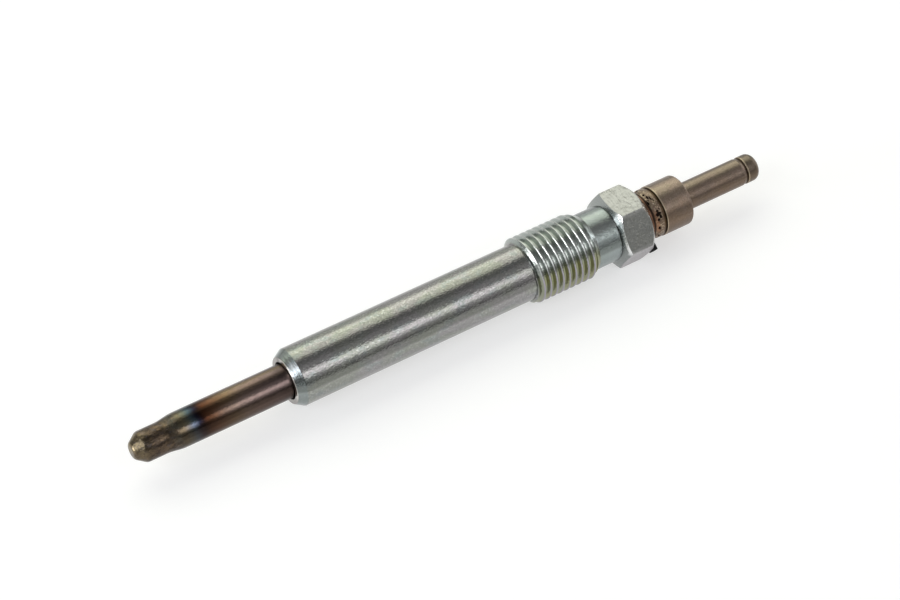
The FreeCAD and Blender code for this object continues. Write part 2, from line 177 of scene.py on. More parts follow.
def rounded(corners, steps=6, hold=0.05, longest=2.5):
    """A half section as an array of (station, radius). Each corner is (station, radius,
    rounding): an arc of that rounding, tangent to both runs, takes the corner's place. A point
    a little beyond each arc, within 0.3 of the run, keeps its shading off the run, and long
    runs are divided."""
    points = [np.array(corners[0][:2], float)]
    for before, corner, after in zip(corners[:-2], corners[1:-1], corners[2:]):
        here = np.array(corner[:2], float)
        back = np.array(before[:2], float) - here
        ahead = np.array(after[:2], float) - here
        back_length, ahead_length = np.linalg.norm(back), np.linalg.norm(ahead)
        back, ahead = back / back_length, ahead / ahead_length
        radius = corner[2]
        if radius <= 0:
            points.append(here)
            continue
        opening = math.acos(np.clip(back @ ahead, -1, 1))
        reach = radius / math.tan(opening / 2)
        middle = (back + ahead) / np.linalg.norm(back + ahead)
        centre = here + middle * radius / math.sin(opening / 2)
        first, last = here + back * reach - centre, here + ahead * reach - centre
        sweep = math.pi - opening
        k = np.linspace(0, 1, steps + 1)[:, None]
        turned_by = np.sin((1 - k) * sweep) * first + np.sin(k * sweep) * last
        points.append(here + back * (reach + min(hold, 0.3 * back_length)))
        points += list(centre + turned_by / math.sin(sweep))
        points.append(here + ahead * (reach + min(hold, 0.3 * ahead_length)))
    points.append(np.array(corners[-1][:2], float))
    points = np.array(points)
    spans = np.linalg.norm(np.diff(points, axis=0), axis=1)
    runs = [points[:1]]
    for start, end, span in zip(points[:-1], points[1:], spans):
        pieces = max(1, math.ceil(span / longest))
        runs.append(start + (end - start) * (np.arange(1, pieces + 1) / pieces)[:, None])
    return np.concatenate(runs)


def turned(corners, angles, **options):
    """A turned form: the rounded half section carried round the axis."""
    section = rounded(corners, **options)
    return place(section[:, :1], section[:, 1:], angles[None, :])


def soft_least(a, b, width):
    """The lesser of two values, rounded where they cross: minus width times the logarithm of
    the sum of exp(-a / width) and exp(-b / width)."""
    return -width * np.logaddexp(-a / width, -b / width)


def thread_grid(angles):
    """The thread and how many rows one turn of it takes. Rows follow the helix, so each row
    lies at one height of the thread form, and they stand closer at the edges of the crest and
    of the root. With d the distance from the nearest crest, the radius falls from the crest's
    flat by d times tan 60 degrees to the root, both a little rounded. A chamfer bounds each
    end, and the first groove runs out into the shank."""
    half = np.array([0.0, 0.042, 0.0625, 0.083, 0.15, 0.22, 0.29, 0.355, 0.385, 0.44])
    within = np.concatenate([half, 1 - half[:0:-1], [0.5]])
    within.sort()
    crest = CREST_STATION - PITCH * (NEAR_SIDE - angles[0]) / TURN
    first = math.floor((THREAD_FRONT - crest) / PITCH) - 1
    last = math.ceil((THREAD_REAR - crest) / PITCH) + 1
    start = crest + PITCH * (np.arange(first, last)[:, None] + within[None, :]).reshape(-1, 1)
    turn = np.mod(angles[None, :] - angles[0], TURN) / TURN
    station = np.clip(start + PITCH * turn, THREAD_FRONT, THREAD_REAR)
    phase = (station - CREST_STATION) / PITCH - (angles[None, :] - NEAR_SIDE) / TURN
    d = np.abs(phase - np.round(phase)) * PITCH
    flank = CREST_RADIUS - (d - CREST_FLAT / 2) * math.tan(math.pi / 3)
    run_in = np.clip((station - THREAD_FRONT) / RUN_IN, 0, 1)
    root = ROOT_RADIUS - ROOT_DROP * (1 - run_in ** 2 * (3 - 2 * run_in))
    form = soft_least(np.full_like(d, CREST_RADIUS), flank, CREST_SOFTNESS)
    form = -soft_least(-form, -root, ROOT_SOFTNESS)
    front = BODY_RADIUS + FRONT_STEP + (station - THREAD_FRONT) * math.tan(FRONT_CHAMFER)
    rear = BODY_RADIUS + (THREAD_REAR - station) * math.tan(REAR_CHAMFER)
    chamfers = soft_least(front, rear, CHAMFER_SOFTNESS)
    radius = soft_least(form, chamfers, CHAMFER_SOFTNESS)
    ends = (station <= THREAD_FRONT) | (station >= THREAD_REAR)
    radius = np.where(ends, BODY_RADIUS, np.minimum(radius, CREST_RADIUS))
    return place(station, radius, angles[None, :]), len(within)


def hexagon_radius(angles):
    """Distance of the hexagon's outline from the axis: flat distance over cosine across each
    flat, and an arc about a point inside the corner where the corner is rounded."""
    off = np.mod(angles - math.pi / 2 + math.pi / 6, math.pi / 3) - math.pi / 6
    inner = HEX_FLAT_RADIUS - HEX_ROUNDING
    limit = math.atan(inner * math.tan(math.pi / 6) / HEX_FLAT_RADIUS)
    beyond = math.pi / 6 - np.abs(off)
    centre = inner / math.cos(math.pi / 6)
    arc = centre * np.cos(beyond) + np.sqrt(HEX_ROUNDING ** 2 - (centre * np.sin(beyond)) ** 2)
    return np.where(np.abs(off) <= limit, HEX_FLAT_RADIUS / np.cos(off), arc)


def hexagon_grid(angles, front_rows=7, flat_rows=12):
    """The hexagon from the neck to its rear face. The front is a shallow dome that meets each
    flat: with u the share of the way from the neck to the corner, it rises by its height times
    (0.6 u + 0.4 u squared). The rear is a 45 degree cone, and both edges of a flat are broken
    by a narrow bevel."""
    outline = hexagon_radius(angles)
    level = 0 * outline
    corner = outline.max()

    def on_front(radius):
        u = (radius - BODY_RADIUS) / (corner - BODY_RADIUS)
        return HEX_FOOT + (HEX_FRONT - HEX_FOOT) * (0.6 * u + 0.4 * u * u)

    rear_radius = HEX_CORNER_RADIUS - HEX_REAR_CHAMFER
    rear_start = HEX_REAR - (outline - rear_radius)
    rows = []
    for share in np.linspace(0, 1, front_rows):
        radius = BODY_RADIUS + (outline - HEX_BEVEL - BODY_RADIUS) * share
        rows.append((on_front(radius), radius))
    first, last = on_front(outline) + HEX_BEVEL, rear_start - HEX_BEVEL
    rows.append((first, outline))
    for share in np.linspace(0.02, 0.98, flat_rows):
        rows.append((first + (last - first) * share, outline))
    rows.append((last, outline))
    leg = 0.7 * HEX_BEVEL
    rows.append((rear_start + leg, outline - leg))
    rows.append((HEX_REAR - leg + level, rear_radius + leg + level))
    rows.append((HEX_REAR + level, rear_radius - HEX_BEVEL + level))
    return place_rows(rows, angles)


# Marks staked into the terminal's front: station, degrees past the near side, half size along
# the axis and round it, and depth. Those on the near side follow the photograph, the others go
# on in the same manner.
STAKE_MARKS = np.array([
    (70.26, -49, 0.14, 0.22, 0.26),
    (70.40, -36, 0.12, 0.40, 0.22),
    (70.70, -30, 0.12, 0.36, 0.24),
    (70.92, -23, 0.10, 0.20, 0.22),
    (70.22, -28, 0.10, 0.18, 0.16),
    (69.90, -23, 0.16, 0.42, 0.26),
    (71.08, 0, 0.10, 0.18, 0.16),
    (70.62, 3, 0.15, 0.22, 0.28),
    (70.82, 10, 0.30, 0.24, 0.34),
    (70.44, 12, 0.20, 0.26, 0.34),
    (70.92, 18, 0.22, 0.26, 0.34),
    (70.46, 24, 0.16, 0.22, 0.30),
    (70.40, 46, 0.14, 0.30, 0.24),
    (70.55, 74, 0.14, 0.26, 0.20),
    (70.34, 97, 0.22, 0.26, 0.30),
    (70.78, 104, 0.14, 0.30, 0.26),
    (70.40, 127, 0.14, 0.38, 0.22),
    (70.66, 148, 0.24, 0.24, 0.32),
    (70.30, 171, 0.16, 0.22, 0.24),
    (70.80, 177, 0.14, 0.34, 0.26),
    (70.44, 199, 0.26, 0.26, 0.30),
    (70.60, 224, 0.14, 0.36, 0.22),
    (70.32, 247, 0.16, 0.24, 0.28),
    (70.84, 252, 0.14, 0.26, 0.24),
    (70.48, 277, 0.22, 0.34, 0.26),
])


def stake_depth(station, angle):
    """Depth of the staked marks: the sum of a bell curve for each mark, whose exponent is the
    squared distance over its half sizes, raised a little for flat floors."""
    off = angle[..., None] - NEAR_SIDE - np.radians(STAKE_MARKS[:, 1])
    off = (np.mod(off + math.pi, TURN) - math.pi) * LIP_RADIUS
    along = (station[..., None] - STAKE_MARKS[:, 0]) / STAKE_MARKS[:, 2]
    around = off / STAKE_MARKS[:, 3]
    bell = np.exp(-((along ** 2 + around ** 2) ** 1.4))
    return (bell * STAKE_MARKS[:, 4]).sum(axis=-1)


def staked_face(angles):
    """The terminal's staked front and how deep each point of it is pushed in: a turned section
    over its shallow cone and its lip, pushed in by the marks, with the ripple of the upset
    metal between them, a product of two waves. Both fade out towards the socket and the
    groove."""
    section = rounded([
        (TERMINAL_FRONT, STAKED_RADIUS - 0.5, 0),
        (TERMINAL_FRONT, STAKED_RADIUS, 0.10),
        (LIP_FRONT, LIP_RADIUS, 0.50),
        (GROOVE_FRONT, LIP_RADIUS, 0),
    ], longest=0.05)
    station, radius, angle = np.broadcast_arrays(section[:, :1], section[:, 1:], angles[None, :])
    fade = np.clip((radius - STAKED_RADIUS + 0.4) / 0.3, 0, 1)
    fade = fade * np.clip((GROOVE_FRONT - station) / 0.15, 0, 1)
    wave = np.sin(17 * angle + 1.3) * np.sin(9 * station + 2 * np.sin(5 * angle))
    depth = (stake_depth(station, angle) + np.maximum(UPSET_RIPPLE * wave, 0)) * fade
    return place(station, radius - np.clip(depth, 0, DEEPEST_STAKE), angle), depth


# Meshes

def merge(grids):
    """Vertices and triangles of several grids of points. A grid closes round its columns; with
    a shift, its last column joins the first that many rows further on, as a thread does after
    one turn. Points that coincide become one, so poles and shared rings close, and triangles
    left without area go. Also gives the row of each kept vertex in the joined list."""
    points, triangles, offset = [], [], 0
    for grid, shift in grids:
        rows, columns = grid.shape[:2]
        row = np.arange(rows - 1)[:, None]
        column = np.arange(columns - 1)[None, :]
        a = row * columns + column
        cells = [np.stack([a, a + 1, a + columns + 1, a + columns], axis=-1).reshape(-1, 4)]
        row = np.arange(rows - 1 - shift)
        a = row * columns + columns - 1
        b = (row + shift) * columns
        cells.append(np.stack([a, b, b + columns, a + columns], axis=-1))
        cells = np.concatenate(cells) + offset
        triangles += [cells[:, [0, 1, 2]], cells[:, [0, 2, 3]]]
        points.append(grid.reshape(-1, 3))
        offset += rows * columns
    points = np.concatenate(points)
    triangles = np.concatenate(triangles)
    keys = np.round(points / SAME_POINT).astype(np.int64)
    _, kept, renumber = np.unique(keys, axis=0, return_index=True, return_inverse=True)
    triangles = renumber.ravel()[triangles]
    a, b, c = triangles.T
    triangles = triangles[(a != b) & (b != c) & (c != a)]
    return points[kept], triangles, kept


def add_piece(name, grids, node, finish, sharp=40.0, marks=None):
    """A closed piece made of grids, which stands for a CAD node. Its faces are turned
    outwards: the volume summed over its triangles, a third of a point times the face's area
    vector, has to be positive. Edges sharper than that many degrees stay sharp, and marks are
    the depths that the staked finish reads."""
    vertices, triangles, kept = merge(grids)
    a, b, c = (vertices[triangles[:, i]] for i in range(3))
    if np.einsum("ij,ij->i", a, np.cross(b, c)).sum() < 0:
        triangles = triangles[:, ::-1]
    mesh = bpy.data.meshes.new(name)
    mesh.vertices.add(len(vertices))
    mesh.vertices.foreach_set("co", vertices.astype(np.float32).ravel())
    mesh.loops.add(triangles.size)
    mesh.loops.foreach_set("vertex_index", triangles.astype(np.int32).ravel())
    mesh.polygons.add(len(triangles))
    mesh.polygons.foreach_set("loop_start", np.arange(0, triangles.size, 3, dtype=np.int32))
    mesh.update(calc_edges=True)
    mesh.validate()
    mesh.shade_smooth()
    mesh.set_sharp_from_angle(angle=math.radians(sharp))
    if marks is not None:
        layer = mesh.attributes.new("stake", "FLOAT", "POINT")
        layer.data.foreach_set("value", marks[kept].astype(np.float32))
    piece = bpy.data.objects.new(name, mesh)
    bpy.context.scene.collection.objects.link(piece)
    piece.data.materials.append(finish)
    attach(piece, "root")
    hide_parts(node)


# Finishes

class Value:
    """One output of a material's node. Arithmetic with it adds Math nodes, and numbers alone
    are worked out in Python."""

    def __init__(self, finish, socket):
        self.finish = finish
        self.socket = socket

    def output(self, name):
        """Another output of the same node."""
        return Value(self.finish, self.socket.node.outputs[name])

    def math(self, operation, first, second=0.0):
        """A Math node on one or two values."""
        return self.finish.node("ShaderNodeMath", {"operation": operation}, {0: first, 1: second})

    def size(self):
        """The value without its sign."""
        return self.math("ABSOLUTE", self)

    def or_more(self, other):
        """The greater of two values."""
        return self.math("MAXIMUM", self, other)

    def __add__(self, other):
        return self.math("ADD", self, other)

    def __sub__(self, other):
        return self.math("SUBTRACT", self, other)

    def __rsub__(self, other):
        return self.math("SUBTRACT", other, self)

    def __mul__(self, other):
        return self.math("MULTIPLY", self, other)

    def __truediv__(self, other):
        return self.math("DIVIDE", self, other)

    def __rtruediv__(self, other):
        return self.math("DIVIDE", other, self)

    def __pow__(self, other):
        return self.math("POWER", self, other)

    def __rpow__(self, other):
        return self.math("POWER", other, self)

    __radd__ = __add__
    __rmul__ = __mul__


class Finish:
    """A surface finish: one material with a metal or plain shader, on Object coordinates."""

    def __init__(self, name):
        self.material = bpy.data.materials.new(name)
        self.material.use_nodes = True
        self.tree = self.material.node_tree
        self.tree.nodes.clear()
        self.point = self.node("ShaderNodeTexCoord", out="Object")
        axes = self.node("ShaderNodeSeparateXYZ", sockets={0: self.point}, out="X")
        self.station = axes * 1000 + MID_STATION
        self.across = axes.output("Y") * 1000
        self.up = axes.output("Z") * 1000 - AXIS_HEIGHT

    def node(self, kind, settings=None, sockets=None, out=0):
        """Adds a node: its settings first, then the values or links of its sockets."""
        node = self.tree.nodes.new(kind)
        for name, value in (settings or {}).items():
            if name == "stops":
                ramp = node.color_ramp
                while len(ramp.elements) < len(value):
                    ramp.elements.new(1.0)
                for element, (position, colour) in zip(ramp.elements, value):
                    element.position = position
                    element.color = (*colour, 1.0)
            else:
                setattr(node, name, value)
        for name, value in (sockets or {}).items():
            if isinstance(value, Value):
                self.tree.links.new(value.socket, node.inputs[name])
            else:
                node.inputs[name].default_value = value
        return Value(self, node.outputs[out])

    def radius(self):
        """Distance from the axis in millimetres."""
        return (self.across * self.across + self.up * self.up) ** 0.5

    def toward(self, degrees):
        """Cosine between the direction from the axis and one that many degrees past the near
        side."""
        angle = NEAR_SIDE + math.radians(degrees)
        along = self.across * math.cos(angle) + self.up * math.sin(angle)
        return along / self.radius()

    # Every strip in the finishes is painted light or painted shade along the near side.
    def strip(self, degrees, reach):
        """1 on a strip along the axis that many degrees past the near side, and 0 beyond its
        reach in degrees."""
        return self.step(self.toward(degrees), math.cos(math.radians(reach)),
                         math.cos(math.radians(0.35 * reach)))

    def step(self, value, low, high):
        """0 below low and 1 above high, smooth between them."""
        return self.node("ShaderNodeMapRange", {"interpolation_type": "SMOOTHSTEP"},
                         {"Value": value, "From Min": low, "From Max": high})

    def band(self, value, low, high, soft):
        """1 between low and high, with soft sides."""
        rise = self.step(value, low - soft, low + soft)
        return rise * (1 - self.step(value, high - soft, high + soft))

    def noise(self, along, around, detail=2.0, rough=0.5, shift=0.0):
        """Noise from 0 to 1 whose grain is that many millimetres long along the axis and
        across it. The shift moves it away from the other noises."""
        stretched = self.node("ShaderNodeMapping", sockets={
            "Vector": self.point, "Location": (shift, shift * 1.7, shift * 0.6),
            "Scale": (1000 / along, 1000 / around, 1000 / around)})
        return self.node("ShaderNodeTexNoise", {"normalize": True}, {
            "Vector": stretched, "Scale": 1.0, "Detail": detail, "Roughness": rough})

    def mix(self, share, first, second):
        """A colour between two colours."""
        first = first if isinstance(first, Value) else (*first, 1.0)
        second = second if isinstance(second, Value) else (*second, 1.0)
        return self.node("ShaderNodeMix", {"data_type": "RGBA", "clamp_factor": True},
                         {0: share, 6: first, 7: second}, out=2)

    def coats(self, colour, *coats):
        """A colour under several coats, each a share and the colour that it brings."""
        for share, coat in coats:
            colour = self.mix(share, colour, coat)
        return colour

    def bumps(self, *layers):
        """Bump nodes in a chain: each layer is a height and how many millimetres 1 is high."""
        normal = None
        for height, millimetres in layers:
            sockets = {"Height": height, "Distance": millimetres * MM, "Strength": 1.0}
            if normal is not None:
                sockets["Normal"] = normal
            normal = self.node("ShaderNodeBump", None, sockets)
        return normal

    def done(self, colour, roughness, metallic, normal, specular=0.5):
        """Closes the material with its shader."""
        return self.close(self.node("ShaderNodeBsdfPrincipled", None, {
            "Base Color": colour, "Roughness": roughness, "Metallic": metallic,
            "Specular IOR Level": specular, "Normal": normal}))

    def close(self, shader):
        """Joins a shader to the material's output."""
        end = self.tree.nodes.new("ShaderNodeOutputMaterial")
        self.tree.links.new(shader.socket, end.inputs["Surface"])
        return self.material


# Zinc: the ground with its drifts, grain and sparkle, then its places
ZINC_OLIVE = (0.305, 0.314, 0.282)
ZINC_VIOLET = (0.322, 0.311, 0.312)
ZINC_TEAL = (0.276, 0.312, 0.308)
ZINC_GRAIN = (0.190, 0.195, 0.180)
ZINC_SPARK = (0.540, 0.545, 0.525)
ZINC_PAINTED_SHADE = (0.030, 0.030, 0.026)
ZINC_PAINTED_HIGHLIGHT = (0.500, 0.505, 0.500)
NECK_TEAL = (0.315, 0.372, 0.372)
SEAT_TEAL = (0.255, 0.298, 0.302)
SEAT_PAINTED_HIGHLIGHT = (0.780, 0.800, 0.820)
MOUTH_DULL = (0.330, 0.300, 0.290)
MOUTH_PAINTED_HIGHLIGHT = (0.800, 0.760, 0.710)
FLANK_GREY = (0.330, 0.365, 0.346)
FLANK_PAINTED_HIGHLIGHT = (0.560, 0.600, 0.580)
FLANK_OLIVE = (0.315, 0.316, 0.170)
CREST_GREY = (0.500, 0.525, 0.510)
CREST_PAINTED_HIGHLIGHT = (0.860, 0.890, 0.880)
CREST_VIOLET = (0.385, 0.360, 0.415)
RUN_IN_PAINTED_SHADE = (0.200, 0.210, 0.205)
ROOT_PAINTED_SHADE = (0.120, 0.135, 0.120)
FLAT_GREY = (0.420, 0.422, 0.412)
FLAT_VIOLET = (0.430, 0.405, 0.425)
FLAT_PAINTED_SHADE = (0.270, 0.275, 0.262)
FLAT_BLOTCH = (0.250, 0.252, 0.228)
FLAT_STROKE = (0.170, 0.165, 0.145)
FLAT_LINE = (0.200, 0.198, 0.180)
FLAT_NICK = (0.560, 0.550, 0.510)
DOME_GREY = (0.290, 0.308, 0.300)
DOME_PAINTED_HIGHLIGHT = (0.960, 0.970, 0.960)


def flat_reach(f):
    """How far a point lies out towards the nearest flat of the hexagon: the greatest of its
    distances from the axis along the three directions square to a pair of flats."""
    half_up = f.up * 0.5
    beside = f.across * math.sin(math.pi / 3)
    return f.up.size().or_more((half_up + beside).size()).or_more((half_up - beside).size())


def thread_colours(f, colour, thread):
    """Colours of the thread over those of the plating: crests and flanks carry a painted
    highlight on the near side and are grey beside it, and below they are violet and olive, in
    patches. The run-in has painted shade on the near side, and the root painted shade."""
    begun = f.step(f.station, THREAD_FRONT + 0.9, THREAD_FRONT + 1.3)
    # Painted highlight on crests and flanks towards the near side
    thread_painted_highlight = f.step(f.toward(-4), 0.90, 0.985) * begun
    low = f.step(f.toward(78), 0.35, 0.75)
    patchy = f.step(f.noise(1.1, 3.0, detail=1.0, shift=5.0), 0.40, 0.58)
    flank = f.coats(FLANK_GREY, (thread_painted_highlight, FLANK_PAINTED_HIGHLIGHT),
                    (low * (0.6 + patchy * begun * 0.4), FLANK_OLIVE))
    edge = f.coats(CREST_GREY, (thread_painted_highlight, CREST_PAINTED_HIGHLIGHT), (low, CREST_VIOLET))
    crest = f.step(f.radius(), 5.76, 5.86)
    # Painted shade on the run-in's near side, dimming its glint
    run_in = (1 - begun) * f.step(f.toward(-14), 0.90, 0.97) * f.step(f.radius(), 5.84, 5.70)
    # Painted shade in the thread's root
    root = f.step(f.radius(), ROOT_RADIUS + 0.1, ROOT_RADIUS)
    return f.coats(
        colour,
        (thread * 0.85, f.mix(crest, flank, edge)),
        (thread * run_in * 0.55, RUN_IN_PAINTED_SHADE),
        (thread * root * 0.22, ROOT_PAINTED_SHADE))


def hexagon_colours(f, rings, blotch, strokes, reach, cone):
    """Colours of the hexagon. Its flats are grey, the lowest of the near ones violet and the one
    above it darker with painted shade, with blotches, strokes across, lines along and bright
    nicks. Its domed front has a painted highlight about the near corner, and in streaks below it."""
    lines = f.step(f.noise(1.3, 0.11, rough=0.7, shift=53.0), 0.57, 0.69)
    nicks = f.step(f.noise(0.35, 0.30, rough=0.6, shift=61.0), 0.60, 0.70)
    flats = f.coats(
        f.mix(f.step(f.toward(79), 0.80, 0.95), FLAT_GREY, FLAT_VIOLET),
        # Painted shade on the near flat above the lowest one
        (f.step(f.toward(19), 0.86, 0.92), FLAT_PAINTED_SHADE),
        (blotch * 0.5, FLAT_BLOTCH),
        (strokes * 0.55, FLAT_STROKE),
        (lines * 0.40, FLAT_LINE),
        (nicks * 0.40, FLAT_NICK))
    # Painted highlight on the domed front about the near corner, and in streaks below it
    corner = f.step(reach / f.radius(), 0.945, 0.905) * f.step(f.toward(-11), 0.93, 0.97)
    streaks = 0.35 + f.step(rings, 0.40, 0.54) * 0.65
    streaks = streaks * f.step(reach, 5.20, 5.50) * f.step(f.toward(24), 0.84, 0.93)
    dome_painted_highlight = (corner * (1 - strokes * 0.3)).or_more(streaks)
    return f.mix(cone, flats, f.mix(dome_painted_highlight, DOME_GREY, DOME_PAINTED_HIGHLIGHT))


def zinc_plate():
    """Bright zinc plating over turned steel: a grain that sparkles and drifts of olive, violet
    and teal. On the near side the round parts carry painted shade along two strips and a painted
    highlight along one. The seat's turned rings carry a painted highlight on that side, the mouth
    is brighter there with a painted highlight, and thread and hexagon have colours of their own."""
    f = Finish("zinc_plate")
    rings = f.noise(0.16, 9.0, rough=0.6)
    grain = f.noise(0.37, 0.31, rough=0.7, shift=3.0)
    speck = f.noise(0.25, 0.23, detail=1.0, shift=43.0)
    drift = f.noise(5.5, 2.6, detail=1.0, shift=11.0)
    veil = f.noise(3.2, 1.8, rough=0.6, shift=23.0)
    blotch = f.step(f.noise(0.9, 0.6, detail=3.0, rough=0.65, shift=37.0), 0.48, 0.70)
    strokes = f.step(f.noise(0.12, 1.1, rough=0.7, shift=31.0), 0.54, 0.66)
    thread = f.band(f.station, THREAD_FRONT + 0.15, THREAD_REAR - 0.1, 0.1)
    neck = f.band(f.station, THREAD_REAR, HEX_FOOT - 0.15, 0.1)
    hexagon = f.step(f.station, HEX_FOOT - 0.12, HEX_FOOT)
    seat = 1 - f.step(f.station, SEAT_REAR - 0.15, SEAT_REAR + 0.05)
    mouth = 1 - f.step(f.station, 0.05, 0.12)
    round_part = (1 - thread) * (1 - hexagon)
    reach = flat_reach(f)
    facet = f.step(reach, HEX_FLAT_RADIUS - 0.07, HEX_FLAT_RADIUS - 0.02) * hexagon
    cone = hexagon * (1 - facet)
    # Painted highlight on the seat's turned rings, only towards the near side
    seat_painted_highlight = seat * f.step(rings, 0.50, 0.62) * f.step(f.toward(-14), 0.90, 0.97)
    # The mouth turns brighter towards the near side: a painted highlight over its own duller grey
    mouth_colour_with_painted_highlight = f.mix(f.step(f.toward(5), 0.30, 0.80), MOUTH_DULL, MOUTH_PAINTED_HIGHLIGHT)
    colour = f.coats(
        f.mix(f.step(drift, 0.40, 0.60), ZINC_OLIVE, ZINC_VIOLET),
        (f.step(veil, 0.50, 0.70) * 0.6, ZINC_TEAL),
        (f.step(grain, 0.44, 0.62) * 0.34, ZINC_GRAIN),
        (f.step(speck, 0.54, 0.68) * 0.36, ZINC_SPARK),
        (neck * 0.65, NECK_TEAL),
        (seat * 0.6, SEAT_TEAL),
        (seat_painted_highlight * 0.6, SEAT_PAINTED_HIGHLIGHT),
        (mouth * 0.8, mouth_colour_with_painted_highlight),
        # Painted shade along two strips and a painted highlight along one, on the near side of
        # the round parts
        (f.strip(30, 12.5) * round_part * 0.42, ZINC_PAINTED_SHADE),
        (f.strip(-73, 12) * round_part * 0.42, ZINC_PAINTED_SHADE),
        (f.strip(-14, 13) * round_part * 0.25, ZINC_PAINTED_HIGHLIGHT))
    colour = thread_colours(f, colour, thread)
    colour = f.mix(hexagon, colour, hexagon_colours(f, rings, blotch, strokes, reach, cone))
    rough = 0.15 + speck * 0.07 + facet * 0.15 + cone * 0.08 + neck * 0.07
    normal = f.bumps((grain * (1 + neck * 0.5), 0.027), (speck, 0.020),
                     (rings * (seat + cone), 0.026), (blotch * facet, 0.024),
                     (strokes * facet, 0.010))
    return f.done(colour, rough, 1.0, normal)


# Temper colours of the heater sheath from its nose to the shell, each with its station
TEMPER_COLOURS = [
    (-28.0, (0.200, 0.155, 0.085)),
    (-25.9, (0.135, 0.105, 0.066)),
    (-24.0, (0.105, 0.078, 0.058)),
    (-22.3, (0.150, 0.108, 0.070)),
    (-20.2, (0.096, 0.090, 0.070)),
    (-19.1, (0.148, 0.124, 0.078)),
    (-18.2, (0.118, 0.124, 0.098)),
    (-17.4, (0.060, 0.092, 0.112)),
    (-16.5, (0.014, 0.015, 0.030)),
    (-15.8, (0.018, 0.009, 0.010)),
    (-15.0, (0.072, 0.028, 0.014)),
    (-13.4, (0.128, 0.064, 0.036)),
    (-10.4, (0.176, 0.120, 0.072)),
    (-8.3, (0.196, 0.140, 0.112)),
    (-5.5, (0.188, 0.134, 0.116)),
    (-1.5, (0.140, 0.102, 0.098)),
]
TEMPER_FRONT = -28.0
TEMPER_REAR = 8.0

# Where the looks of the sheath begin or end, each between two stations
NOSE_LOOK_END = (-26.4, -25.4)
TIP_LOOK_END = (-20.4, -19.4)
BROWN_LOOK_START = (-14.5, -10.0)
SHELL_PAINTED_SHADE_START = (-2.6, -0.8)
SCUFF_SPAN = (-5.0, 0.5)
PAINTED_HIGHLIGHT_SPAN = (-20.6, -16.8)
PAINTED_HIGHLIGHT_TURNS_VIOLET = (-19.6, -17.4)

TIP_SOOT = (0.022, 0.018, 0.016)
TIP_GOLD = (0.270, 0.185, 0.115)
TIP_ASH = (0.110, 0.098, 0.105)
NOSE_GOLD = (0.330, 0.270, 0.165)
NOSE_SPECK = (0.085, 0.070, 0.056)
TUBE_PAINTED_SHADE_AT_SHELL = (0.060, 0.046, 0.042)
TUBE_SCUFF = (0.300, 0.250, 0.215)
TUBE_GRAIN = (0.060, 0.042, 0.032)
TUBE_UNDERSIDE_PAINTED_SHADE = (0.046, 0.030, 0.022)
TUBE_PAINTED_SHADE = (0.016, 0.011, 0.008)
TUBE_DEEP_PAINTED_SHADE = (0.010, 0.007, 0.006)
TUBE_PAINTED_GOLDEN_HIGHLIGHT = (0.350, 0.270, 0.165)
TUBE_PAINTED_ROSY_HIGHLIGHT = (0.268, 0.200, 0.190)
PAINTED_HIGHLIGHT_STRAW = (0.440, 0.310, 0.190)
PAINTED_HIGHLIGHT_VIOLET = (0.300, 0.320, 0.480)


